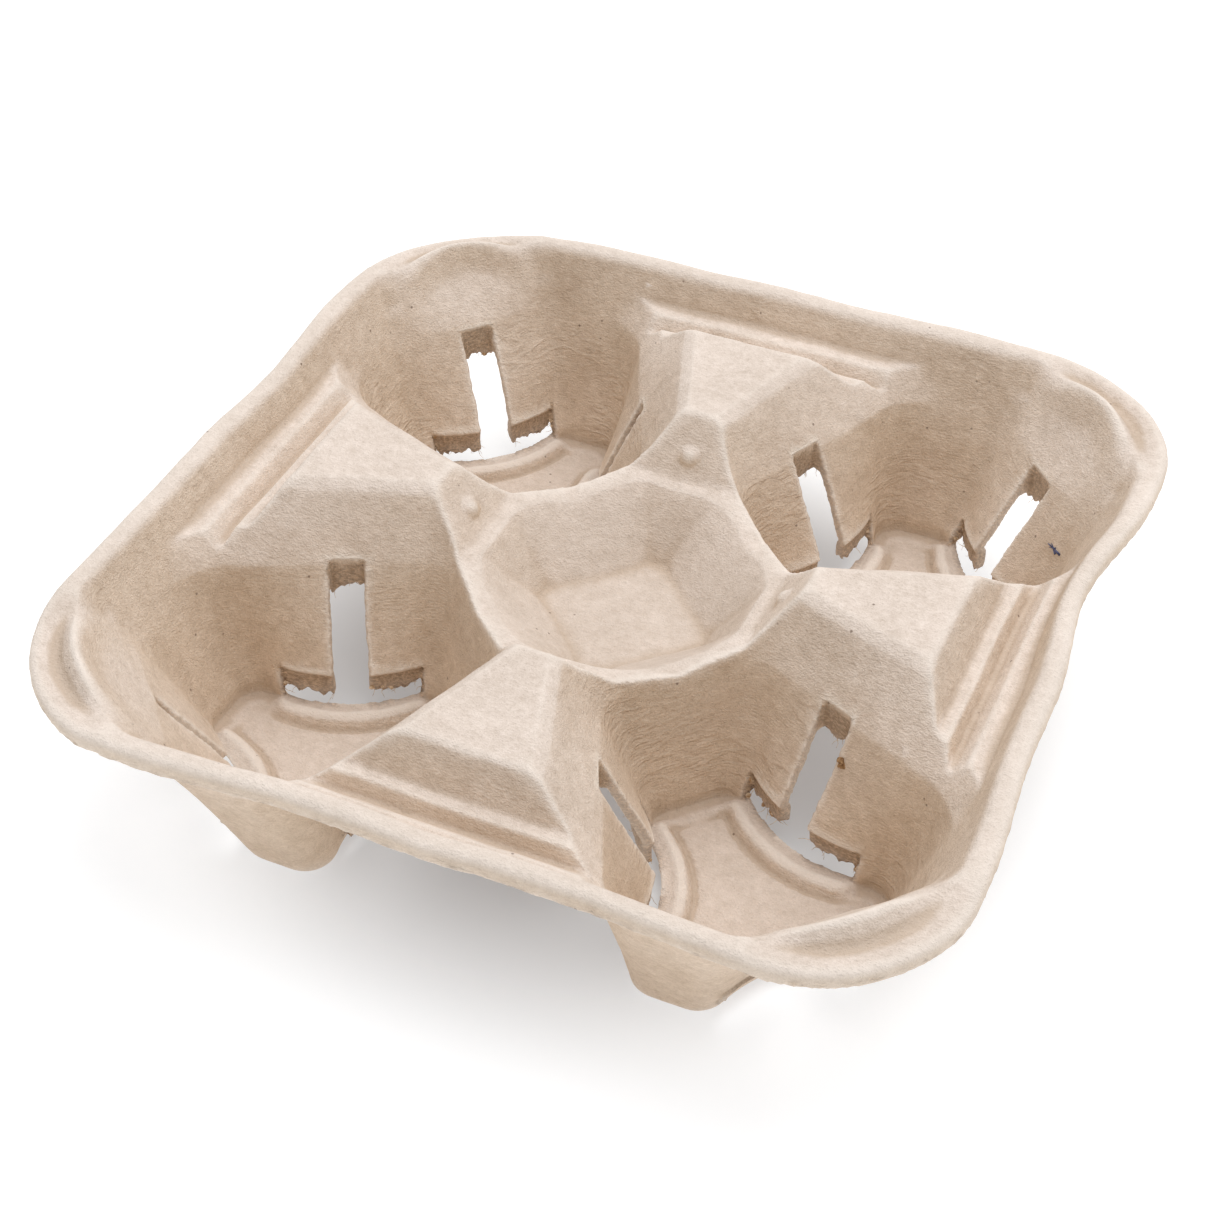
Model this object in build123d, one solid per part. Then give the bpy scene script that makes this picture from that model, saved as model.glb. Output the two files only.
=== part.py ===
from build123d import *
import os
from math import cos, radians, sqrt

# Moulded pulp tray that carries four cups, made as one thin shell.
# Frame: millimetres, +Z up, the four feet stand on z = 0 and the tray's middle is x = y = 0.
# Each side lies parallel to X or Y. A post stands at the middle of each side and a cup pocket
# lies in each corner. "Reach" is a distance from the middle of the tray towards a side.

# Overall size
half_size = 108.0
outer_corner_radius = 35.0
rim_top = 54.8
wall = 2.4

# Posts, ridge, basin and pockets keep their proportions in plan when half_size changes.
# Their plan sizes are the ones of this tray, times plan.
drawn_half_size = 108.0
plan = half_size / drawn_half_size

# Rim: lip, shallow groove and inner crest, with a short skirt outside.
# An inset is measured inwards from the tray's outer side.
lip_crest_inset = 1.5
lip_shoulder_drop = 1.5
skirt_depth = 4.4
skirt_thickness = 2.2
rim_groove_inset = 3.1
rim_groove_depth = 1.1
inner_crest_inset = 4.4
inner_crest_drop = 0.5
rim_inner_inset = 5.3
rim_inner_drop = 1.6
rim_web_depth = 3.0
rim_web_thickness = 3.1
lip_under_drop = 3.1
rim_rounding = 1.0
lip_crest_reach = half_size - lip_crest_inset
rim_groove_reach = half_size - rim_groove_inset
inner_crest_reach = half_size - inner_crest_inset
rim_inner_reach = half_size - rim_inner_inset

# Posts
post_drop = 0.1
post_top = rim_top - post_drop
post_inner_reach = 47.5 * plan
post_outer_reach = 81.3 * plan
post_edge_rounding = 2.6

# Ledges and groove in the land between each post and the rim
post_foot_reach = 86.9 * plan
inner_ledge_height = 45.4
inner_ledge_reach = 89.9 * plan
land_groove_reach = 92.2 * plan
land_groove_height = 40.8
outer_ledge_start = 96.2 * plan
outer_ledge_reach = 99.8 * plan
outer_ledge_height = 45.6
ledge_rounding = 0.9

# Ridge around the centre basin
ridge_outer_reach = 37.0 * plan
ridge_post_height = 41.4
ridge_dip_reach = 24.3 * plan
ridge_dip_height = 38.2

# Centre basin
basin_floor_height = 25.4
basin_floor_reach = 21.5 * plan
basin_floor_half_tip = 2.0 * plan
basin_floor_diagonal = 16.0 * plan
basin_brim_height = 40.8
basin_brim_reach = 33.8 * plan
basin_brim_half_tip = 8.5 * plan
basin_brim_diagonal = 35.4 * plan

# Small knob low on the inner slope of each post
knob_radius = 3.4
knob_rise = 1.3
knob_height = 46.2

# Pocket floor: a panel set down inside a raised border
border_height = 4.2
border_width = 4.6
border_slope_run = 1.1
foot_rounding = 2.4

# Pocket walls, read at four heights. In the quadrant where x and y are both positive:
# side = reach of the outer wall at the foot, lean = how far it moves out for each millimetre
# up, slope = the other walls' lean near the mouth in degrees, near and far = where the outer
# wall starts and ends along the side, face = a point on the post face, root = the post face's
# end beside the basin, corner and centre = where the corner and ridge walls cross the diagonal.
side_foot_inset = 23.0
side_foot = half_size - side_foot_inset
side_lean = 0.361
upper_wall_slope = 37.0
pocket_break_height = 38.4
pocket_shoulder_drop = 1.8
pocket_mouth_rise = 0.8
pocket_shoulder_height = rim_top - pocket_shoulder_drop
pocket_mouth_height = rim_top + pocket_mouth_rise

near_foot = 36.0 * plan
far_foot = 58.0 * plan
face_foot = (61.0 * plan, 39.3 * plan)
root_foot = (41.4 * plan, 22.6 * plan)
corner_foot_inset = 41.0
corner_foot = half_size - corner_foot_inset
centre_foot = 31.8 * plan

near_break = 38.5 * plan
far_break = 65.5 * plan
face_break = (69.0 * plan, 26.2 * plan)
root_break = (41.0 * plan, 12.6 * plan)
corner_break_inset = 27.1
corner_break = half_size - corner_break_inset
centre_break = 26.2 * plan

near_shoulder = 24.8 * plan
far_shoulder = 69.6 * plan
face_shoulder = (70.0 * plan, 14.5 * plan)
root_shoulder = (43.4 * plan, 4.9 * plan)
corner_shoulder_inset = 17.4
corner_shoulder = half_size - corner_shoulder_inset
centre_shoulder = 23.9 * plan

near_mouth = 19.8 * plan
far_mouth = 70.4 * plan
face_mouth = (70.0 * plan, 9.8 * plan)
root_mouth = (45.6 * plan, 1.5 * plan)
corner_mouth_inset = 16.4
corner_mouth = half_size - corner_mouth_inset
centre_mouth = 23.4 * plan

# Rounding in plan of the upright valleys between the pocket walls
valley_foot = 6.0
valley_break_near = 16.0
valley_break = 9.0
valley_top_near = 18.0
valley_top = 9.0

# Slots: each is an upright notch with a wide mouth at its foot
slot_width = 8.6
post_slot_centre = (63.5 * plan, 22.6 * plan)
post_slot_turn = 24.8
post_slot_top = 39.4
corner_slot_inset = 27.5
corner_slot_reach = half_size - corner_slot_inset
corner_slot_top = 37.2
slot_run = 26.0
slot_back_depth = 9.0
slot_back_thickness = 1.7
slot_back_lap = 4.0
window_half_width = 17.0
window_top = 12.0
hem_depth = 3.4


def nearest(shape, point):
    return shape.vertices().sort_by_distance(Vector(*point))[0]


def rounded_face(corners, roundings):
    # a closed outline of straight edges, rounded at the corners that have a rounding
    face = make_face(Polyline(*corners, close=True))
    for corner, radius in zip(corners, roundings):
        if radius > 0:
            face = fillet(nearest(face, corner), radius)
    return face


def ridge_height(reach):
    # the ridge rises evenly from its dip to the foot of the post
    rise = (ridge_post_height - ridge_dip_height) / (ridge_outer_reach - ridge_dip_reach)
    return ridge_dip_height + (reach - ridge_dip_reach) * rise


def land_face(start, end, bottom):
    # upright section through the middle of a post, from the tray's middle out to the rim
    rim_inner = rim_top - rim_inner_drop
    corners = [
        (start, bottom),
        (start, ridge_height(start)),
        (ridge_outer_reach, ridge_post_height),
        (post_inner_reach, post_top),
        (post_outer_reach, post_top),
        (post_foot_reach, inner_ledge_height),
        (inner_ledge_reach, inner_ledge_height),
        (land_groove_reach, land_groove_height),
        (outer_ledge_start, outer_ledge_height),
        (outer_ledge_reach, outer_ledge_height),
        (rim_inner_reach, rim_inner),
        (end, rim_inner),
        (end, bottom),
    ]
    soft = post_edge_rounding
    fine = ledge_rounding
    roundings = [0, 0, soft, soft, soft, fine, fine, fine, fine, fine, 0, 0, 0]
    return rounded_face(corners, roundings)


# Upright plane through a corner of the tray and its middle
mitre = Plane(origin=(0, 0, 0), x_dir=(0, 0, 1), z_dir=(1, -1, 0))


def quarter_land(face, length):
    # the section stands upright and runs from the middle of a post to the mitre,
    # where it meets its mirror image from the next side
    strip = extrude(Plane.XZ * face, amount=-length)
    strip = split(strip, bisect_by=mitre, keep=Keep.TOP)
    return strip.fuse(mirror(strip, about=mitre))


def around(body):
    # the same body on all four sides
    return [Rot(0, 0, 90 * turn) * body for turn in range(4)]


def pocket_outline(height, reach, near, far, face, root, corner, centre, radii):
    # outline of a cup pocket at one height, mirrored about the diagonal
    start = (root[0], root[1])
    side_near = (reach, near)
    side_far = (reach, far)
    half = [
        ThreePointArc(start, face, side_near),
        Line(side_near, side_far),
    ]
    other = [
        Line((far, reach), (near, reach)),
        ThreePointArc((near, reach), (face[1], face[0]), (root[1], root[0])),
    ]
    corner_edge = ThreePointArc(side_far, (corner, corner), (far, reach))
    centre_edge = ThreePointArc((root[1], root[0]), (centre, centre), start)
    sheet = make_face(Curve() + half + [corner_edge] + other + [centre_edge])
    near_radius, radius = radii
    for point in [side_near, (near, reach)]:
        sheet = fillet(nearest(sheet, point), near_radius)
    for point in [side_far, (far, reach), start, (root[1], root[0])]:
        sheet = fillet(nearest(sheet, point), radius)
    return Pos(0, 0, height) * sheet


def side_reach(height):
    return side_foot + (height - border_height) * side_lean


def pocket_sheets():
    foot = pocket_outline(
        border_height, side_foot, near_foot, far_foot, face_foot,
        root_foot, corner_foot, centre_foot, (valley_foot, valley_foot))
    middle = pocket_outline(
        pocket_break_height, side_reach(pocket_break_height), near_break, far_break, face_break,
        root_break, corner_break, centre_break, (valley_break_near, valley_break))
    shoulder = pocket_outline(
        pocket_shoulder_height, side_reach(pocket_shoulder_height), near_shoulder, far_shoulder,
        face_shoulder, root_shoulder, corner_shoulder, centre_shoulder,
        (valley_top_near, valley_top))
    mouth = pocket_outline(
        pocket_mouth_height, side_reach(pocket_mouth_height), near_mouth, far_mouth,
        face_mouth, root_mouth, corner_mouth, centre_mouth, (valley_top_near, valley_top))
    return [foot, middle, shoulder, mouth]


def moved_outline(sheet, distance, height):
    # an outline grown or shrunk in plan and set at another height, kept as lines and arcs
    moved = offset(sheet, amount=distance, kind=Kind.INTERSECTION)
    edges = Curve()
    for edge in moved.wires()[0].edges():
        if edge.geom_type == GeomType.LINE:
            edges += Line(edge @ 0, edge @ 1)
        else:
            edges += ThreePointArc(edge @ 0, edge @ 0.5, edge @ 1)
    return Pos(0, 0, height - sheet.center().Z) * make_face(edges)


def octagon(height, reach, half_tip, diagonal):
    # four short edges face the posts and four bowed edges face the pockets
    middle = diagonal / sqrt(2)
    edges = Curve()
    for turn in range(4):
        spin = Rot(0, 0, 90 * turn)
        edges += spin * Line((reach, -half_tip), (reach, half_tip))
        edges += spin * ThreePointArc((reach, half_tip), (middle, middle), (half_tip, reach))
    return Pos(0, 0, height) * make_face(edges)


def basin_outline(height, thickness):
    # outline of the basin at one height, set outwards by a wall of this thickness
    depth = basin_brim_height - basin_floor_height
    lean = (basin_brim_reach - basin_floor_reach) / depth
    tip_lean = (basin_brim_half_tip - basin_floor_half_tip) / depth
    diagonal_lean = (basin_brim_diagonal - basin_floor_diagonal) / depth
    rise = height - basin_floor_height
    grow = thickness * sqrt(1 + lean ** 2)
    diagonal_grow = thickness * sqrt(1 + diagonal_lean ** 2)
    return octagon(
        height,
        basin_floor_reach + rise * lean + grow,
        basin_floor_half_tip + rise * tip_lean + grow * (sqrt(2) - 1),
        basin_floor_diagonal + rise * diagonal_lean + diagonal_grow)


# Air inside one pocket, above the border of its floor
sheets = pocket_sheets()
pocket_air = loft(sheets, ruled=True)

# The floor panel set down inside the border, with a sloping step
overlap = 0.01
panel_low = moved_outline(sheets[0], -border_width, wall)
panel_high = moved_outline(sheets[0], border_slope_run - border_width, border_height + overlap)
pocket_air += loft([panel_low, panel_high], ruled=True)

# The same pocket grown by the wall, which is what stands out below the tray
lower_grow = wall * sqrt(1 + side_lean ** 2)
upper_grow = wall / cos(radians(upper_wall_slope))
foot_grow = lower_grow - border_height * side_lean
shell_sheets = [
    moved_outline(sheets[0], foot_grow, 0),
    moved_outline(sheets[1], lower_grow, pocket_break_height),
    moved_outline(sheets[2], upper_grow, pocket_shoulder_height),
    moved_outline(sheets[3], upper_grow, pocket_mouth_height),
]
pocket_shell = loft(shell_sheets, ruled=True)
pocket_shell = fillet(pocket_shell.faces().sort_by(Axis.Z)[0].edges(), foot_rounding)

# Basin, as air and grown by the wall
above_brim = basin_brim_height + wall
basin_air = loft([
    basin_outline(basin_floor_height, 0),
    basin_outline(above_brim, 0),
], ruled=True)
basin_shell = loft([
    basin_outline(basin_floor_height - wall, wall),
    basin_outline(above_brim, wall),
], ruled=True)

# Knob on the inner slope of a post, sunk so that only its crown stands out
slope_run = post_inner_reach - ridge_outer_reach
slope_rise = post_top - ridge_post_height
slope_length = sqrt(slope_run ** 2 + slope_rise ** 2)
knob_sink = knob_radius - knob_rise
knob_reach = ridge_outer_reach + (knob_height - ridge_post_height) * slope_run / slope_rise
knob = Pos(
    knob_reach + knob_sink * slope_rise / slope_length,
    0,
    knob_height - knob_sink * slope_run / slope_length,
) * Rot(90, 0, 0) * Sphere(knob_radius)

# One quarter of the tray: everything below its upper surface
margin = 20.0
rim_inner_top = rim_top - rim_inner_drop
land_end_reach = (inner_crest_reach + rim_groove_reach) / 2
land = quarter_land(land_face(0, land_end_reach, -wall), land_end_reach)

# The corner between the pocket and the rim is level with the rim's inner crest
crest_top = rim_top - inner_crest_drop
crest_width = land_end_reach - far_mouth
crest = Pos(far_mouth, far_mouth, -wall) * Box(
    crest_width, crest_width, crest_top + wall, align=(Align.MIN, Align.MIN, Align.MIN))
outline = rounded_face([
    (0, 0),
    (land_end_reach, 0),
    (land_end_reach, land_end_reach),
    (0, land_end_reach),
], [0, 0, outer_corner_radius - (half_size - land_end_reach), 0])
column = extrude(Pos(0, 0, -margin) * outline, amount=rim_top + 2 * margin)
quarter = land.fuse(crest).intersect(column)[0]

# Everything below its under surface, which follows the upper one at the wall's distance
under_reach = half_size + margin
under_face = offset(land_face(-margin, under_reach, -margin), amount=-wall, kind=Kind.INTERSECTION)
under_face = under_face & Pos(under_reach / 2, 0) * Rectangle(under_reach, 4 * under_reach)
corner_hollow = Pos(far_mouth, far_mouth, -margin) * Box(
    under_reach, under_reach, margin + crest_top - wall,
    align=(Align.MIN, Align.MIN, Align.MIN))
hollow = quarter_land(under_face, under_reach).fuse(corner_hollow)
hollow = hollow.cut(pocket_shell, basin_shell)
quarter = quarter.cut(hollow)

# Rim: one section run along the sides and turned about the corners
web_foot_reach = rim_inner_reach - side_lean * rim_web_depth
rim_corners = [
    (web_foot_reach, rim_inner_top - rim_web_depth),
    (rim_inner_reach, rim_inner_top),
    (inner_crest_reach, crest_top),
    (rim_groove_reach, rim_top - rim_groove_depth),
    (lip_crest_reach, rim_top),
    (half_size, rim_top - lip_shoulder_drop),
    (half_size, rim_top - skirt_depth),
    (half_size - skirt_thickness, rim_top - skirt_depth),
    (half_size - skirt_thickness, rim_top - lip_under_drop),
    (rim_groove_reach, rim_top - rim_groove_depth - skirt_thickness),
    (web_foot_reach + rim_web_thickness, rim_inner_top - rim_web_depth),
]
rim_roundings = [0, 0, rim_rounding, rim_rounding, rim_rounding, rim_rounding, 0, 0, 0, 0, 0]
rim_face = rounded_face(rim_corners, rim_roundings)
straight = half_size - outer_corner_radius
rim_side = extrude(Plane.XZ * rim_face, amount=-straight)
rim_corner = revolve(
    Pos(0, straight, 0) * (Plane.XZ * rim_face),
    axis=Axis((straight, straight, 0), (0, 0, 1)), revolution_arc=90)
quarter = quarter.fuse(rim_side, mirror(rim_side, about=mitre), rim_corner)

# Air of the pocket and the basin
quarter = quarter.cut(pocket_air, basin_air)


def block(frame, half_width, near_side, far_side, low, high):
    # a box in a slot's own frame: across the slot, then from behind the wall into the pocket
    body = Pos(0, near_side, low) * Box(
        2 * half_width, far_side - near_side, high - low,
        align=(Align.CENTER, Align.MIN, Align.MIN))
    return frame * body


# The three slots of one pocket: one in each post face and one in the corner wall
reach, away = post_slot_centre
slot_frames = [
    (Pos(reach, away, 0) * Rot(0, 0, post_slot_turn), post_slot_top),
    (Pos(away, reach, 0) * Rot(0, 0, 270 - post_slot_turn), post_slot_top),
    (Pos(corner_slot_reach, corner_slot_reach, 0) * Rot(0, 0, 135), corner_slot_top),
]
notches = []
windows = []
backs = []
for frame, top in slot_frames:
    notches.append(block(frame, slot_width / 2, 0, slot_run, border_height, top))
    windows.append(block(frame, window_half_width, 0, slot_run, border_height, window_top))
    backs.append(block(
        frame, slot_width / 2 + slot_back_thickness, -slot_back_thickness, slot_back_lap,
        top - slot_back_depth, top + slot_back_thickness))

# Below each slot's mouth the wall hangs on as a short upright hem
shell_ring = section(pocket_shell.cut(pocket_air), section_by=Plane.XY.offset(window_top))
hem_ring = extrude(shell_ring, amount=-hem_depth)
hems = [hem_ring & window for window in windows]

quarter = quarter.fuse(*[back.cut(pocket_air) for back in backs])
quarter = quarter.cut(*windows)
quarter = quarter.fuse(*hems)
quarter = quarter.cut(*notches)

# The four quarters are one moulding; a knob sits on the inner slope of each post
first, *others = around(quarter)
tray = first.fuse(*others)
under_slab = extrude(Plane.XZ * under_face, amount=knob_radius * 2, both=True)
tray = tray.fuse(*around(knob.cut(under_slab)))

os.makedirs("parts", exist_ok=True)
export_step(tray, "parts/cup_carrier.step")
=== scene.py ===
# %% [markdown]
# # A moulded-pulp cup carrier
# The object is one thin shell of moulded paper pulp. Its exact form comes from a CAD model,
# which is loaded here as a fixed frame. Blender adds what CAD leaves out: soft edges, small
# warps, torn slot edges with loose fibres, and the look of dry pulp.
# %% Load the frame
import math
import random

import bmesh
import bpy
import numpy as np
from mathutils import Matrix, Vector, noise
from mathutils.kdtree import KDTree


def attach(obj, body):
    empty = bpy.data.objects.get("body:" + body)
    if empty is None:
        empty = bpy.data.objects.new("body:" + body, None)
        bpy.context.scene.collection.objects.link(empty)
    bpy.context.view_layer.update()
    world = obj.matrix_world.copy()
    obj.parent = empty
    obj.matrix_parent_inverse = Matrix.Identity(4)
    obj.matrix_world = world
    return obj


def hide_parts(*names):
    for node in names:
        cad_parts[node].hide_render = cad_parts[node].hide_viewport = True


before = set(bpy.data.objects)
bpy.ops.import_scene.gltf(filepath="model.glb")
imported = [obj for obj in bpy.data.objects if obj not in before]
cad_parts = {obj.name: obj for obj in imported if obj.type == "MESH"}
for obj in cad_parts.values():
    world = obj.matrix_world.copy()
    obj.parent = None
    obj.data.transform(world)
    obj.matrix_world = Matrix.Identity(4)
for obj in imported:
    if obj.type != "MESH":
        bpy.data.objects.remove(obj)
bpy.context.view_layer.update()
scene = bpy.context.scene
print("loaded nodes:", sorted(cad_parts))

# %% [markdown]
# ## Camera
# The picture looks down on the tray from one corner, from about half a metre away. A camera
# needs three axes: where it looks from, what is to its right and what is above. They are
# worked out from two points and a very small roll.
# %% Place the camera
camera_place = Vector((0.16549, -0.36763, 0.38815))
camera_target = Vector((-0.00555, 0.00268, 0.0244))
camera_roll = math.radians(-0.5)
image_width = 1214
focal_pixels = 2219.47

back = (camera_place - camera_target).normalized()
right = (-back).cross(Vector((0, 0, 1))).normalized()
up = right.cross(-back).normalized()
rolled_right = math.cos(camera_roll) * right + math.sin(camera_roll) * up
rolled_up = math.cos(camera_roll) * up - math.sin(camera_roll) * right

camera_data = bpy.data.cameras.new("camera")
camera_data.sensor_width = 36
camera_data.lens = focal_pixels * camera_data.sensor_width / image_width
camera = bpy.data.objects.new("camera", camera_data)
camera.matrix_world = Matrix.Translation(camera_place) @ Matrix(
    (rolled_right, rolled_up, back)).transposed().to_4x4()
scene.collection.objects.link(camera)
scene.camera = camera
print("lens in mm:", round(camera_data.lens, 1))

# %% [markdown]
# ## Light
# Pulp is matte, so its form shows only through soft shading. One very wide lamp hangs over
# the tray, a little behind it, and a pale world lifts the shadows.
# %% Set up lamps and the world
def add_area_lamp(name, place, size, watts):
    data = bpy.data.lights.new(name, "AREA")
    data.shape = "SQUARE"
    data.size = size
    data.energy = watts
    lamp = bpy.data.objects.new(name, data)
    aim = (-Vector(place)).to_track_quat("-Z", "Y").to_matrix().to_4x4()
    lamp.matrix_world = Matrix.Translation(place) @ aim
    scene.collection.objects.link(lamp)


add_area_lamp("overhead_lamp", place=(0.10, 0.35, 1.25), size=1.3, watts=13.2)

world = bpy.data.worlds.new("studio")
scene.world = world
world.use_nodes = True
world.node_tree.nodes["Background"].inputs["Color"].default_value = (1, 1, 1, 1)
world.node_tree.nodes["Background"].inputs["Strength"].default_value = 0.55
scene.view_settings.view_transform = "Standard"


# %% [markdown]
# ## Shader helper
# A material is a graph of nodes. Writing `1 - mask` is easier to read than making a Math node
# by hand, so this small class wraps a socket and lets Python's operators add the nodes.
# %% Define the socket wrapper
class Socket:
    def __init__(self, tree, socket):
        self.tree = tree
        self.socket = socket

    def node(self, kind, settings=None, inputs=None, output=0):
        made = self.tree.nodes.new(kind)
        for name, value in (settings or {}).items():
            setattr(made, name, value)
        for name, value in (inputs or {}).items():
            if isinstance(value, Socket):
                self.tree.links.new(value.socket, made.inputs[name])
            else:
                made.inputs[name].default_value = value
        return Socket(self.tree, made.outputs[output])

    def math(self, operation, other=None, swap=False):
        pair = [self] if other is None else ([other, self] if swap else [self, other])
        return self.node("ShaderNodeMath", {"operation": operation}, dict(enumerate(pair)))

    def __add__(self, other):
        return self.math("ADD", other)

    def __radd__(self, other):
        return self.math("ADD", other, swap=True)

    def __sub__(self, other):
        return self.math("SUBTRACT", other)

    def __rsub__(self, other):
        return self.math("SUBTRACT", other, swap=True)

    def __mul__(self, other):
        return self.math("MULTIPLY", other)

    def step(self, low, high):
        # 0 below low, 1 above high and a soft change between
        return self.node("ShaderNodeMapRange", {"interpolation_type": "SMOOTHSTEP"},
                         {"Value": self, "From Min": low, "From Max": high})


def start_material(name):
    material = bpy.data.materials.new(name)
    material.use_nodes = True
    tree = material.node_tree
    shader = tree.nodes["Principled BSDF"]
    place = tree.nodes.new("ShaderNodeTexCoord").outputs["Object"]
    return material, shader, Socket(tree, place)


def blend_colours(factor, first, second):
    # the colour sockets of the Mix node come after its number and vector ones
    inputs = {0: factor, 6: first, 7: second}
    return factor.node("ShaderNodeMix", {"data_type": "RGBA"}, inputs, output=2)


def plug(value, shader, name):
    value.tree.links.new(value.socket, shader.inputs[name])


print("shader helper ready")

# %% [markdown]
# ## The tray's skin
# The CAD solid is exact, with crisp edges. Real pulp has none: wet fibre settles softly round
# every corner of its mould. A voxel remesh turns the shell into an even skin of very small
# faces.
# %% Remesh a copy of the CAD solid
voxel_size = 0.0006
weld_distance = 0.00001


def with_modifier(piece, kind, **settings):
    # adds a modifier, keeps the mesh that it makes and clears it again
    modifier = piece.modifiers.new(kind.lower(), kind)
    for name, value in settings.items():
        setattr(modifier, name, value)
    graph = bpy.context.evaluated_depsgraph_get()
    made = bpy.data.meshes.new_from_object(piece.evaluated_get(graph))
    piece.modifiers.clear()
    piece.data = made


tray = bpy.data.objects.new("pulp_tray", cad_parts["cup_carrier"].data.copy())
scene.collection.objects.link(tray)
skin = bmesh.new()
skin.from_mesh(tray.data)
bmesh.ops.remove_doubles(skin, verts=skin.verts, dist=weld_distance)
skin.to_mesh(tray.data)
skin.free()
with_modifier(tray, "REMESH", mode="VOXEL", voxel_size=voxel_size)
print("faces after the remesh:", len(tray.data.polygons))

# %% [markdown]
# ## Soft edges
# Smoothing moves each point halfway to the middle of its neighbours. On flat stretches that
# changes nothing, and at an edge it rounds the corner off, so all edges soften alike.
# %% Soften every edge
smoothing_rounds = 2


def smooth(mesh, verts, rounds):
    for turn in range(rounds):
        bmesh.ops.smooth_vert(mesh, verts=verts, factor=0.5,
                              use_axis_x=True, use_axis_y=True, use_axis_z=True)


skin = bmesh.new()
skin.from_mesh(tray.data)
smooth(skin, skin.verts, smoothing_rounds)
skin.to_mesh(tray.data)
skin.free()
print("smoothing rounds:", smoothing_rounds)

# %% [markdown]
# ## Where the slots are
# Each pocket has three slots, and each slot has its own small frame: x runs across the slot,
# y runs from behind the wall into the pocket and z is up. The tray is the same on all four
# sides, so three frames are turned four times. The numbers repeat the CAD model's, in metres.
# %% List the slot frames
slot_half_width = 0.0043
window_half_width = 0.017
border_height = 0.0042
window_top = 0.012
hem_bottom = 0.0086
slot_back_depth = 0.009
# x, y, turn in degrees and height of the upper end
post_slot = (0.0635, 0.0226, 24.8, 0.0394)
corner_slot = (0.0805, 0.0805, 135.0, 0.0372)
x, y, turn, top = post_slot
kinds = [(x, y, turn, top), (y, x, 270 - turn, top), corner_slot]

slots = []
for quarter in range(4):
    for x, y, turn, top in kinds:
        place = Matrix.Rotation(math.radians(90 * quarter), 4, "Z") @ Matrix.Translation((x, y, 0))
        place = place @ Matrix.Rotation(math.radians(turn), 4, "Z")
        slots.append((place, top))
print("slots:", len(slots))

# %% [markdown]
# ## Masks for points
# The next steps pull on the skin's points with numpy, which handles them all at once. Small
# functions read the points, say how much each one takes part (`ramp` and `near`), give each
# its own noise and turn places into a slot's frame.
# %% Read the points and define the masks
def read_vectors(items, name):
    # one row of x, y and z for each item
    values = np.empty(len(items) * 3)
    items.foreach_get(name, values)
    return values.reshape(-1, 3)


def ramp(value, low, high):
    # 0 below low, 1 above high and a soft change between
    share = np.clip((value - low) / (high - low), 0, 1)
    return share * share * (3 - 2 * share)


def near(value, width):
    # 1 where the value is 0, fading to 0 at the given width from it
    return np.clip(1 - np.abs(value) / width, 0, 1)


def jitter(places, pitch, seed):
    # one noise vector for each point; pitch is the size of the lumps
    shift = Vector((seed * 7.3, seed * 3.1, seed * 1.7))
    return np.array([noise.noise_vector(Vector(p) / pitch + shift) for p in places.tolist()])


def in_slot_frame(places, slot_place):
    inverse = np.array(slot_place.inverted())
    return places @ inverse[:3, :3].T + inverse[:3, 3]


points = read_vectors(tray.data.vertices, "co")
print("points:", len(points))

# %% [markdown]
# ## Parts of a torn slot
# The slots are torn open, not cut: after drying, a tool pushes through the wall. Below each
# flap hangs a brown hem, a panel stands behind the slot's upper end, and below is the sill.
# This function says how much each point near a slot belongs to each of these parts.
# %% Find the parts of a slot
# the sill's distance from the wall, how it curves back to its ends, and more at the corners
sill_depth = 0.0142
sill_curve = 16.2
corner_sill_more = 0.0022
slot_wall_depth = 0.0165


def slot_parts(p, top, number):
    across, depth, height = np.abs(p[:, 0]), p[:, 1], p[:, 2]
    at_corner = number % len(kinds) == 2
    above_border = (height > border_height + 0.0003) & (depth < slot_wall_depth)
    in_window = (across < window_half_width + 0.0006) & (across > slot_half_width - 0.0004)
    hem = in_window & (height > border_height + 0.0015) & (height < window_top + 0.0004)
    panel = (across < slot_half_width + 0.0003) & (depth < 0.0006)
    panel &= (height > top - slot_back_depth - 0.001) & (height < top - 0.0003)
    sill_edge = sill_depth - sill_curve * across ** 2 + corner_sill_more * at_corner
    return {
        "window": in_window,
        "hem": hem,
        "sunk": hem * ramp(window_top - height, -0.0004, 0.0005),
        "panel": panel,
        "side": near(across - slot_half_width, 0.0010) * above_border * (height < top),
        "end": near(across - window_half_width, 0.0012)
        * above_border * (height < window_top + 0.0006),
        "sill": near(height - border_height, 0.0009) * near(depth - sill_edge, 0.0016) * in_window,
    }


print("parts of a slot defined")

# %% [markdown]
# ## How a slot tears
# The hem is set back from the flap above it and hangs down with a ragged edge. The panel
# breaks off askew, and the slot's sides, the window's ends and the sill fray. Two hems are
# pushed up to their flap instead, and two slots are squeezed nearly shut.
# %% Move the points of a slot
hem_setback = 0.0009
hem_ragged = 0.6
panel_ragged = 0.0018
fray_size = 0.0006
# slots are numbered as in the list; the squeeze is how far each side moves
folded_hems = (8, 11)
squeezed = {8: 0.0030, 3: 0.0027}


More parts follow.
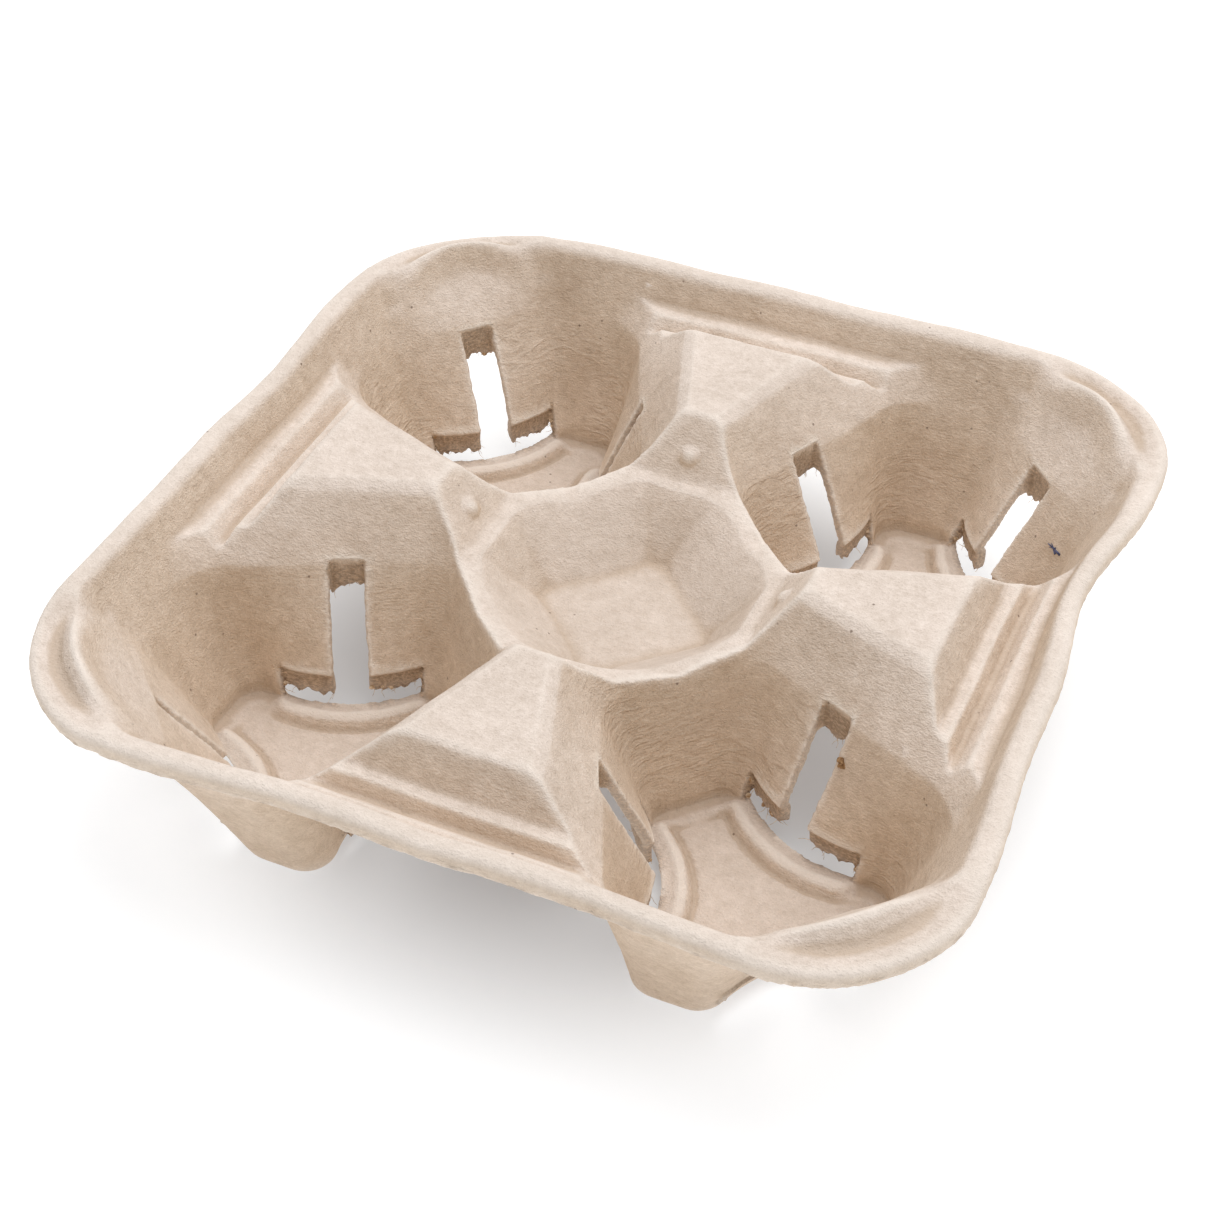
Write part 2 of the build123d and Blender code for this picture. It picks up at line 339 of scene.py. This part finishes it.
def torn_places(p, top, number, parts, rough):
    across, height = np.abs(p[:, 0]), p[:, 2]
    moved = p.copy()

    stretch = np.where(p[:, 0] > 0, random.uniform(0.7, 0.95), random.uniform(0.55, 0.95))
    ragged = hem_ragged
    if number in folded_hems:
        # nearly all of the hem goes up to the flap
        stretch, ragged = -0.9, 0.05
    hang = np.clip(window_top - height, 0, window_top - hem_bottom) * parts["hem"]
    hang *= 1 - ramp(across, window_half_width - 0.0010, window_half_width)
    moved[:, 1] -= hem_setback * parts["sunk"]
    moved[:, 2] -= hang * (stretch + ragged * rough[:, 2])

    break_share = near(height - (top - slot_back_depth), 0.006) * parts["panel"]
    slant = random.uniform(-0.5, 0.1)
    moved[:, 2] += break_share * (slant * p[:, 0] + panel_ragged * rough[:, 0])

    frayed = np.maximum.reduce([parts["side"] * 0.4, parts["end"] * 0.5, parts["sill"] * 0.45])
    moved += fray_size * frayed[:, None] * rough

    pinch = squeezed.get(number, 0) * (1 - ramp(across, slot_half_width, 0.016))
    pinch = pinch * ramp(height, 0.0055, 0.0085) * (1 - ramp(height, top, top + 0.006))
    moved[:, 0] -= np.sign(p[:, 0]) * np.minimum(pinch, 0.7 * across)
    return moved


print("hem setback in mm:", 1000 * hem_setback)

# %% [markdown]
# ## How torn edges look
# How near a point lies to a torn edge is kept as one number, which the material reads later:
# up to 1 on a brown edge, and down to -1 on the pale lips above and beside it, a painted
# highlight. The whole hem and the panel are brown too, partly as torn fibre, partly as painted
# shade.
# %% Measure the torn edges
def edge_tone(p, top, number, parts):
    across, height = np.abs(p[:, 0]), p[:, 2]
    back_edge = top - slot_back_depth
    # the whole hem and the panel are browned too, partly as torn fibre and partly as painted shade
    edge = np.maximum.reduce([
        near(height - hem_bottom, 0.0013) * parts["hem"], 0.55 * parts["sunk"],
        0.8 * parts["end"], 0.55 * parts["sill"], 0.35 * parts["side"],
        0.5 * parts["panel"], 0.95 * near(height - back_edge, 0.0009) * parts["panel"]])
    # painted highlight: pale lines above the slot, beside it and along the flap's lower edge
    highlight_above = near(height - top - 0.0004, 0.0007) * (across < slot_half_width + 0.0008)
    highlight_beside = 0.7 * near(across - slot_half_width - 0.0005, 0.0006)
    highlight_beside = highlight_beside * (height > window_top) * (height < top)
    flap_edge_highlight = near(height - window_top - 0.0006, 0.0006) * parts["window"]
    lip = np.maximum.reduce([flap_edge_highlight, highlight_above, highlight_beside]) * (edge < 0.2)
    return (edge - lip) * (0.3 if number in folded_hems else 1.0)


print("edge tones defined")

# %% [markdown]
# ## Tear every slot
# The three functions now run on the points round each slot, one slot after another. The
# seeds make the same random numbers come out every time.
# %% Tear the slot edges
random.seed(4)
noise.seed_set(4)
coarse_pitch = 0.0030
fine_pitch = 0.0011
torn = np.zeros(len(points))
for number, (place, top) in enumerate(slots):
    local = in_slot_frame(points, place)
    beside_slot = (np.abs(local[:, 0]) < 0.021) & (local[:, 1] > -0.007) & (local[:, 1] < 0.0168)
    chosen = np.where(beside_slot & (local[:, 2] < top + 0.008) & (local[:, 2] > 0.001))[0]
    p = local[chosen]
    rough = jitter(p, coarse_pitch, number) + 0.7 * jitter(p, fine_pitch, number + 20)
    parts = slot_parts(p, top, number)
    moved = torn_places(p, top, number, parts, rough)
    points[chosen] = moved @ np.array(place)[:3, :3].T + np.array(place)[:3, 3]
    torn[chosen] += edge_tone(p, top, number, parts)
print("points near a torn edge:", int((torn > 0.3).sum()))

# %% [markdown]
# ## The bead round each pocket's floor
# Along the windows the border of the floor is a rounded bead, with a shallow groove at its
# inner foot, and between them it flattens out. The CAD model has it as a plain step. Points
# in the middle of that step are found by their height and by a normal that looks up, and a
# KD tree then gives every other point's distance to it.
# %% Raise the bead and sink its foot
floor_height = 0.0024
# midway between the floor and its border
step_height = 0.0033
# distance from the step, half width, and height or depth
bead_middle, bead_width, bead_rise = 0.0020, 0.0019, 0.0010
foot_middle, foot_width, foot_sink = 0.0008, 0.0010, 0.0008

facing_up = read_vectors(tray.data.vertex_normals, "vector")[:, 2] > 0.25
step_points = np.where(facing_up & (np.abs(points[:, 2] - step_height) < 0.0006))[0]
tree = KDTree(len(step_points))
for k in step_points.tolist():
    tree.insert(points[k], k)
tree.balance()

beside = np.where(facing_up & (points[:, 2] < 0.0058) & (points[:, 2] > 0.0015))[0]
away = np.array([tree.find(p)[2] for p in points[beside].tolist()])
along = np.zeros(len(beside))
for place, top in slots:
    local = in_slot_frame(points[beside], place)
    in_front = ramp(local[:, 1], 0.001, 0.005) * (1 - ramp(local[:, 1], 0.026, 0.030))
    along = np.maximum(along, in_front * (1 - ramp(np.abs(local[:, 0]), 0.0165, 0.0215)))

height = points[beside, 2]
crown = bead_rise * near(away - bead_middle, bead_width)
foot = -foot_sink * near(away - foot_middle, foot_width)
swell = np.where(height > step_height, crown, foot)
flattened = floor_height + 0.25 * (height - floor_height)
points[beside, 2] = along * (height + swell) + (1 - along) * flattened
print("points on the step:", len(step_points))

# %% [markdown]
# ## The rim's corners
# At each corner the pocket's mouth stands a little proud of the lip, with a crescent-shaped
# groove between them. The lip itself sags at three of the four corners. A point's reach is its
# distance from the centre of the corner's arc, and the sine of the doubled angle is 1 in
# mid-corner.
# %% Shape the corners of the rim
arc_centre = 0.073
# reach, width, and height or depth
crest_middle, crest_width, crest_rise = 0.0248, 0.0026, 0.0030
groove_middle, groove_width, groove_sink = 0.0290, 0.0019, 0.0026
corner_sag = {(1, 1): 0.0, (-1, 1): 0.0015, (-1, -1): 0.0012, (1, -1): 0.0018}
smallest_reach = 1e-9


def hump(value, middle, width):
    return np.exp(-((value - middle) / width) ** 2)


side_of = np.where(points[:, :2] < 0, -1, 1)
beyond = np.maximum(np.abs(points[:, :2]) - arc_centre, 0)
reach = np.hypot(beyond[:, 0], beyond[:, 1])
safe_reach = np.maximum(reach, smallest_reach)
outward = side_of * beyond / safe_reach[:, None]
mid_corner = (2 * beyond[:, 0] * beyond[:, 1] / safe_reach ** 2) ** 0.6
upper = ramp(points[:, 2], 0.040, 0.052)
sag = np.array([corner_sag[tuple(pair)] for pair in side_of.tolist()])
crest = crest_rise * hump(reach, crest_middle, crest_width)
groove = groove_sink * hump(reach, groove_middle, groove_width)
points[:, 2] += mid_corner * upper * (crest - groove - sag * ramp(reach, 0.029, 0.034))
print("points in the corners:", int((mid_corner * upper > 0.1).sum()))

# %% [markdown]
# ## The rim's sides and skirt
# Along the straight sides the groove in the rim is nearly filled. The lower edge of the skirt
# is a little rough and brown, where the two halves of the mould met.
# %% Fill the groove and fray the skirt
# reach, width and height of the fill; height, half width and size of the skirt's fray
fill_middle, fill_width, fill_rise = 0.0319, 0.0012, 0.0006
skirt_height, skirt_width, skirt_fray = 0.0503, 0.0011, 0.00025

fill = hump(reach, fill_middle, fill_width) * (points[:, 2] > 0.0510)
points[:, 2] += fill_rise * (1 - mid_corner) * fill
skirt = near(points[:, 2] - skirt_height, skirt_width) * (reach > 0.0325)
edge_points = np.where(skirt > 0)[0]
places = points[edge_points]
rough = jitter(places, 0.0035, seed=80) + 0.6 * jitter(places, 0.0012, seed=81)
points[edge_points] += skirt_fray * skirt[edge_points, None] * rough
torn[edge_points] += 0.55 * skirt[edge_points] * ramp(rough[:, 0], -0.10, 0.45)
print("points on the skirt's edge:", len(edge_points))

# %% [markdown]
# ## Warp and waves
# No moulded tray is flat. This one's rim is pulled outwards almost everywhere, flares at the
# right-hand corner and dips beside it. The pull is given every fifteen degrees, starting at
# the right-hand side, and a Fourier series runs smoothly through these values. The whole skin
# also rolls by a few tenths of a millimetre; both faces of the wall move together.
# %% Bow the rim and roll the skin
rim_pull_mm = [-0.1, -1.6, 3.2, 1.2, 1.9, 2.3, 1.9, 2.0, 0.4, -1.6, 2.6, 1.8,
               1.9, 2.4, 1.7, 1.7, 3.0, 1.2, 1.1, 0.8, 1.3, 2.7, 3.0, 1.5]
steps_between = 20
long_wave_pitch, long_wave_height = 0.016, 0.00035
short_wave_pitch, short_wave_height = 0.005, 0.00010

count = steps_between * len(rim_pull_mm)
series = np.fft.irfft(np.fft.rfft(rim_pull_mm), count) * steps_between
bearing = np.degrees(np.arctan2(points[:, 1], points[:, 0])) % 360
pull = np.interp(bearing, np.arange(count) * 360 / count, series, period=360) / 1000
points[:, :2] += (pull * ramp(reach, 0.021, 0.034))[:, None] * outward
long_wave = jitter(points, long_wave_pitch, seed=50) * long_wave_height
short_wave = jitter(points, short_wave_pitch, seed=60) * short_wave_height
points += long_wave + short_wave
tray.data.vertices.foreach_set("co", points.ravel())
attribute = tray.data.attributes.new("torn", "FLOAT", "POINT")
attribute.data.foreach_set("value", torn)
print("pull in mm:", round(1000 * float(pull.min()), 1), "to", round(1000 * float(pull.max()), 1))

# %% [markdown]
# ## Soft mouths
# The pockets' mouths are the roundest edges of all, and beside each corner the ledges run out
# softly into the pocket's wall. The points there are smoothed many more times than the rest.
# %% Round the pockets' mouths
mouth_bottom = 0.0495
mouth_inner, mouth_outer = 0.019, 0.0325
mouth_rounds = 8
ledge_rounds = 30
ledge_end = Vector((0.0700, 0.1000, 0.0480))
ledge_end_size = 0.0075

# the tray is alike on all sides, so each point's shorter distance in plan comes first
plan = np.sort(np.abs(points[:, :2]), axis=1)
from_end = np.sqrt((plan[:, 0] - ledge_end.x) ** 2 + (plan[:, 1] - ledge_end.y) ** 2
                   + (points[:, 2] - ledge_end.z) ** 2)
mouth = (points[:, 2] > mouth_bottom) & (reach > mouth_inner) & (reach < mouth_outer)
skin = bmesh.new()
skin.from_mesh(tray.data)
skin.verts.ensure_lookup_table()
for region, rounds in ((mouth, mouth_rounds), (from_end < ledge_end_size, ledge_rounds)):
    smooth(skin, [skin.verts[k] for k in np.where(region)[0]], rounds)
skin.to_mesh(tray.data)
skin.free()
print("points at the mouths:", int(mouth.sum()))

# %% [markdown]
# ## Ridges and hollows
# Hollows get brown painted shade and ridges a pale painted highlight. Averaging each point
# with its neighbours, again and again, gives a blurred surface. Where the blurred surface
# lies outside the real one there is a hollow, and where it lies inside there is a ridge.
# %% Measure ridges and hollows
blur_rounds = 30
full_relief = 0.0008

co = read_vectors(tray.data.vertices, "co")
normals = read_vectors(tray.data.vertex_normals, "vector")
pairs = np.empty(2 * len(tray.data.edges), dtype=np.int32)
tray.data.edges.foreach_get("vertices", pairs)
ends = pairs.reshape(-1, 2)
both = np.concatenate([ends, ends[:, ::-1]])
neighbours = np.maximum(np.bincount(both[:, 0], minlength=len(co)), 1)
blurred = co.copy()
for turn in range(blur_rounds):
    sums = [np.bincount(both[:, 0], blurred[both[:, 1], axis], len(co)) for axis in range(3)]
    blurred = np.stack([total / neighbours for total in sums], axis=1)
hollow = ((blurred - co) * normals).sum(axis=1) / full_relief
attribute = tray.data.attributes.new("hollow", "FLOAT", "POINT")
attribute.data.foreach_set("value", np.clip(hollow, -1, 1))
print("hollow from", round(float(hollow.min()), 1), "to", round(float(hollow.max()), 1))

# %% [markdown]
# ## Fewer faces
# The even skin has far more faces than flat stretches need. Collapsing edges keeps the small
# faces where the surface turns and merges them where it is nearly flat.
# %% Thin out the faces
face_limit = 190000
with_modifier(tray, "DECIMATE", ratio=min(1, face_limit / (2 * len(tray.data.polygons))))
for face in tray.data.polygons:
    face.use_smooth = True
print("faces kept:", len(tray.data.polygons))

# %% [markdown]
# ## The felt
# Dry pulp is a felt of short wood fibres. Close up it shows strokes in several directions,
# mottling a few tenths of a millimetre wide, fine grain and broad clouds. All are worked out
# from the object's own coordinates, so the pattern is solid, as in the real felt.
# %% Lay the fibres
pulp, shader, place = start_material("dry_pulp")


def noise_at(place, scale, detail=2.0, roughness=0.5):
    return place.node("ShaderNodeTexNoise", {}, {
        "Vector": place, "Scale": scale, "Detail": detail, "Roughness": roughness})


strokes = []
for turn in ((0, 0, 0.5), (0, 0, 2.1), (1.1, 0.4, 3.6)):
    laid = place.node("ShaderNodeMapping", {}, {
        "Vector": place, "Rotation": turn, "Scale": (0.45, 1.0, 1.0)})
    strokes.append(noise_at(laid, 1500.0, roughness=0.55))
fibre = strokes[0].math("MAXIMUM", strokes[1]).math("MAXIMUM", strokes[2]) - 0.07
mottle = noise_at(place, 330.0, detail=3.0, roughness=0.6)
cloud = noise_at(place, 45.0, detail=3.0, roughness=0.55)
grain = noise_at(place, 2600.0, detail=1.0)
tone = 0.5 + (fibre - 0.5) * 1.1 + (mottle - 0.5) * 0.9 + (cloud - 0.5) * 0.7 + (grain - 0.5) * 0.7
print("felt nodes:", len(pulp.node_tree.nodes))

# %% [markdown]
# ## Colour by form
# Steep walls are painted browner than flat stretches, as painted shade for the warm light that
# walls bounce to each other. The pockets' floors and the centre basin get painted shade, broad
# stains lie on the walls, hollows get brown painted shade and ridges a pale painted highlight.
# %% Colour the form
flat_dark, flat_pale = (0.590, 0.490, 0.410, 1), (0.895, 0.780, 0.700, 1)
# painted shade: the wall colours are browner than the flat ones, for the warm light walls bounce to
# each other
wall_shade_dark, wall_shade_pale = (0.520, 0.390, 0.275, 1), (0.840, 0.690, 0.545, 1)
shade_colour = (0.47, 0.37, 0.285, 1)
stain_colour = (0.50, 0.355, 0.255, 1)
hollow_shade_colour = (0.48, 0.355, 0.245, 1)
ridge_highlight_colour = (0.92, 0.835, 0.755, 1)

axes = [place.node("ShaderNodeSeparateXYZ", {}, {0: place}, output=k) for k in range(3)]
from_middle = place.node("ShaderNodeVectorMath", {"operation": "LENGTH"}, {0: place}, output=1)
normal = place.node("ShaderNodeNewGeometry", output=1)
steep = 1 - normal.node("ShaderNodeSeparateXYZ", {}, {0: normal}, output=2).math("ABSOLUTE")
form = place.node("ShaderNodeAttribute", {"attribute_name": "hollow"}, {}, output=2)

flat = blend_colours(tone, flat_dark, flat_pale)
wall = blend_colours(tone, wall_shade_dark, wall_shade_pale)
# steep faces take the browner wall colours, as painted shade
colour = blend_colours(steep.step(0.1, 0.8), flat, wall)
# painted shade: the pockets' low floors and the centre basin are darkened
low_floor_shade = (1 - steep.step(0.2, 0.6)) * (1 - axes[2].step(0.006, 0.020))
basin = (1 - from_middle.step(0.042, 0.056)) * axes[2].step(0.020, 0.024)
shaded = low_floor_shade.math("MAXIMUM", basin)
colour = blend_colours(shaded * 0.25, colour, shade_colour)
stain = noise_at(place, 26.0).step(0.50, 0.66) * steep.step(0.15, 0.5)
colour = blend_colours(stain * 0.14, colour, stain_colour)
# painted shade: hollows turn brown
colour = blend_colours(form.step(0.05, 0.75) * 0.55, colour, hollow_shade_colour)
# painted highlight: ridges turn pale
ridge = (form * -1.0).step(0.10, 0.90)
colour = blend_colours(ridge * 0.45, colour, ridge_highlight_colour)
print("nodes with the form's colours:", len(pulp.node_tree.nodes))

# %% [markdown]
# ## Torn edges and specks
# Where the pulp is torn its inner fibres show, browner and more uneven than the skin. The
# same brown, partly painted shade, covers the whole hem and the panel, and the pale lips beside
# the tears are a painted highlight. Small dark specks are scattered in loose groups.
# %% Colour the torn edges and the specks
torn_dark, torn_light = (0.13, 0.065, 0.03, 1), (0.62, 0.43, 0.27, 1)
lip_highlight_colour = (0.93, 0.84, 0.74, 1)
speck_colour = (0.16, 0.10, 0.07, 1)

tear_and_painted_light = place.node("ShaderNodeAttribute", {"attribute_name": "torn"}, {}, output=2)
brown = blend_colours(fibre.step(0.40, 0.68), torn_dark, torn_light)
# torn fibre is brown; on the whole hem and the panel this brown is partly painted shade
colour = blend_colours(tear_and_painted_light.math("MAXIMUM", 0.0) * 0.9, colour, brown)
# painted highlight: the pale lips above and beside the slots
colour = blend_colours(tear_and_painted_light.math("MINIMUM", 0.0) * -0.8, colour, lip_highlight_colour)
cells = place.node("ShaderNodeTexVoronoi", {}, {"Vector": place, "Scale": 260.0})
groups = noise_at(place, 120.0, detail=1.0).step(0.60, 0.63)
speck = (1 - cells.step(0.05, 0.12)) * groups
colour = blend_colours(speck * 0.75, colour, speck_colour)
plug(colour, shader, "Base Color")
shader.inputs["Roughness"].default_value = 0.92
shader.inputs["Specular IOR Level"].default_value = 0.25
print("nodes in the colour:", len(pulp.node_tree.nodes))

# %% [markdown]
# ## Relief
# The same felt gives the fine relief. Added to it are lumps, broken lines that the forming
# screen pressed into the steep walls, 0.8 mm apart in height and 1.1 mm across, and soft folds.
# %% Make the pulp relief
# in radians per metre
row_frequency = 7800.0
column_frequency = 5500.0

bend = noise_at(place, 70.0, detail=1.0) * 7.0
rows = (axes[2] * row_frequency + bend).math("SINE")
columns = ((axes[0] - axes[1]) * column_frequency + bend).math("SINE")
broken = noise_at(place, 38.0).step(0.42, 0.62) * noise_at(place, 210.0).step(0.40, 0.60)
screen = (rows * 0.5 + columns * 0.3) * steep.step(0.25, 0.75) * broken
lumps = noise_at(place, 150.0)
laid = place.node("ShaderNodeMapping", {}, {"Vector": place, "Scale": (1.0, 1.0, 3.0)})
fold = (noise_at(laid, 110.0) * 2.0 - 1.0).math("ABSOLUTE")
folds = (1 - fold.step(0.0, 0.24)) * steep.step(0.3, 0.7) * noise_at(place, 30.0).step(0.50, 0.66)
relief = fibre * 1.2 + mottle * 0.8 + lumps * 0.9 + grain * 0.6 + screen * 0.16 + folds * 0.7
relief = relief + fibre * tear_and_painted_light.math("ABSOLUTE") * 1.5
bump = relief.node("ShaderNodeBump", {}, {"Height": relief, "Strength": 0.8, "Distance": 0.00040})
plug(bump, shader, "Normal")
tray.data.materials.clear()
tray.data.materials.append(pulp)
print("nodes in the pulp material:", len(pulp.node_tree.nodes))

# %% [markdown]
# ## Helpers for small bits
# Fibres, crumbs and clumps are made from two shapes: a thin cone laid along a heading, and a
# ball that noise makes lumpy. Every such piece gets its own two-toned fibre material and rides
# with the tray's body.
# %% Define rods, lumps and fibre pieces
def add_rod(mesh, middle, heading, length, radius, taper, sides):
    facing = heading.to_track_quat("Z", "Y").to_matrix().to_4x4()
    bmesh.ops.create_cone(
        mesh, cap_ends=True, segments=sides, radius1=radius, radius2=radius * taper,
        depth=length, matrix=Matrix.Translation(middle) @ facing)


def add_lump(mesh, middle, radius, detail, lumpiness, pitch):
    made = bmesh.ops.create_icosphere(mesh, subdivisions=detail, radius=radius,
                                      matrix=Matrix.Translation(middle))
    for vert in made["verts"]:
        vert.co += lumpiness * noise.noise_vector(vert.co / pitch)


def add_fibre_piece(name, mesh, dark, light):
    piece = bpy.data.objects.new(name, bpy.data.meshes.new(name))
    mesh.to_mesh(piece.data)
    mesh.free()
    scene.collection.objects.link(piece)
    material, shader, place = start_material(name)
    shade = noise_at(place, 900.0).step(0.35, 0.65)
    plug(blend_colours(shade, dark, light), shader, "Base Color")
    shader.inputs["Roughness"].default_value = 0.9
    piece.data.materials.append(material)
    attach(piece, "root")
    print(name, "faces:", len(piece.data.polygons))


print("helpers for small bits ready")

# %% [markdown]
# ## Loose fibres
# Tearing pulls single fibres out of the felt. Each one is a short chain of three-sided cones
# that bends a little at every joint. It is rooted in a torn edge, so that none floats. Small
# crumbs of felt cling to the same edges.
# %% Grow fibres on the torn edges
strand_count = 420
joints = 5
strand_radius = 0.00009
root_depth = 0.0003
crumb_count = 70

roots = np.where(torn > 0.6)[0].tolist()
hair = bmesh.new()
for number in range(strand_count):
    k = random.choice(roots)
    heading = Vector(normals[k]) + 1.1 * noise.random_unit_vector()
    heading.z -= 0.2
    start = Vector(co[k]) - root_depth * Vector(normals[k])
    length = random.uniform(0.0003, 0.0007)
    for joint in range(joints):
        heading = (heading.normalized() + 0.45 * noise.random_unit_vector()).normalized()
        thick = strand_radius * (1 - 0.6 * joint / joints)
        add_rod(hair, start + heading * length / 2, heading, length * 1.1, thick,
                taper=0.85, sides=3)
        start = start + heading * length
for number in range(crumb_count):
    k = random.choice(roots)
    size = random.uniform(0.0004, 0.0008)
    add_lump(hair, co[k], size, detail=2, lumpiness=0.6 * size, pitch=size)
add_fibre_piece("loose_fibres", hair, (0.40, 0.25, 0.13, 1), (0.80, 0.65, 0.48, 1))

# %% [markdown]
# ## A clump
# Recycled pulp carries bits of other paper. A brown clump of three lumps sticks to the edge
# of the slot in the front pocket.
# %% Add the clump
clump_radius = 0.0009


def nearest_point(spot):
    # the skin's point nearest to a spot, and its normal
    k = int(np.argmin(((co - np.array(spot)) ** 2).sum(axis=1)))
    return Vector(co[k]), Vector(normals[k])


lump = bmesh.new()
spot = nearest_point((0.0664, -0.0305, 0.0300))[0]
for shift in ((0, 0, 0), (0.0006, 0.0003, -0.0007), (-0.0003, 0.0002, 0.0006)):
    add_lump(lump, spot + Vector(shift), clump_radius, detail=3, lumpiness=0.0006, pitch=0.0008)
add_fibre_piece("brown_clump", lump, (0.16, 0.075, 0.025, 1), (0.42, 0.25, 0.12, 1))

# %% [markdown]
# ## A stray blue fibre
# One small tuft of dark blue fibres lies pressed into the wall of the right-hand pocket. Each
# fibre is a slim cone, tilted in the wall's own plane.
# %% Add the blue fibre
press_out = 0.00008
# tilt in degrees, length, radius and shift sideways
blue_fibres = ((5, 0.0048, 0.00038, 0.0), (35, 0.0030, 0.00030, 0.0003),
               (-25, 0.0022, 0.00022, 0.0007))

tuft = bmesh.new()
spot, outwards = nearest_point((0.0896, 0.0653, 0.0272))
sideways = outwards.cross(Vector((0, 0, 1))).normalized()
upwards = sideways.cross(outwards).normalized()
for tilt, length, thick, shift in blue_fibres:
    heading = math.cos(math.radians(tilt)) * sideways + math.sin(math.radians(tilt)) * upwards
    middle = spot + shift * sideways + press_out * outwards
    add_rod(tuft, middle, heading, length, thick, taper=0.3, sides=6)
add_fibre_piece("blue_fibre", tuft, (0.035, 0.04, 0.09, 1), (0.12, 0.13, 0.23, 1))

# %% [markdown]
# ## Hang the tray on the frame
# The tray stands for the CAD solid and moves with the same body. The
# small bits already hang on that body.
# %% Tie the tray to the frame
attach(tray, "root")
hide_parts("cup_carrier")
print("tray size in mm:", [round(1000 * side, 1) for side in tray.dimensions])

# %% [markdown]
# ## Floor
# A plain white sheet under the tray catches its soft shadow. It glows a little for all rays,
# so it lights the tray from below though it is no lamp. For the camera the sheet is darker,
# and its glow is weaker near the tray's middle and much stronger away from it, so that it
# reads as pure white there; the weaker glow near the middle paints shadow onto the cast one.
# A trace of blue in the camera's added light takes some warmth out of the shadow.
# %% Lay the floor
sheet_half_size = 4
# distances from the tray's middle between which the camera's glow grows; nearer in, the weaker glow
# is painted shadow
shadow_end, white_start = 0.060, 0.125
# first for all rays, then how the camera's own rays differ
sheet_white, white_drop = 0.86, 0.36
sheet_glow, glow_rise, glow_drop = 0.38, 0.48, 0.195
green_more, blue_more = 0.012, 0.026

sheet = bmesh.new()
bmesh.ops.create_grid(sheet, x_segments=1, y_segments=1, size=sheet_half_size)
floor = bpy.data.objects.new("floor", bpy.data.meshes.new("floor"))
sheet.to_mesh(floor.data)
sheet.free()
scene.collection.objects.link(floor)
paper, shader, place = start_material("white_floor")
seen = place.node("ShaderNodeLightPath")
distance = place.node("ShaderNodeVectorMath", {"operation": "LENGTH"}, {0: place}, output=1)
plain = sheet_white - seen * white_drop
# painted shadow: nearer the tray's middle the camera sees less glow
painted_glow = sheet_glow + seen * (distance.step(shadow_end, white_start) * glow_rise - glow_drop)
plug(plain.node("ShaderNodeCombineColor", {}, {0: plain, 1: plain, 2: plain}), shader, "Base Color")
cool = {0: painted_glow, 1: painted_glow + seen * green_more, 2: painted_glow + seen * blue_more}
# the sheet glows for every ray, lighting the tray though it is no lamp
plug(painted_glow.node("ShaderNodeCombineColor", {}, cool), shader, "Emission Color")
shader.inputs["Roughness"].default_value = 0.95
shader.inputs["Emission Strength"].default_value = 1.0
floor.data.materials.append(paper)
print("floor laid")
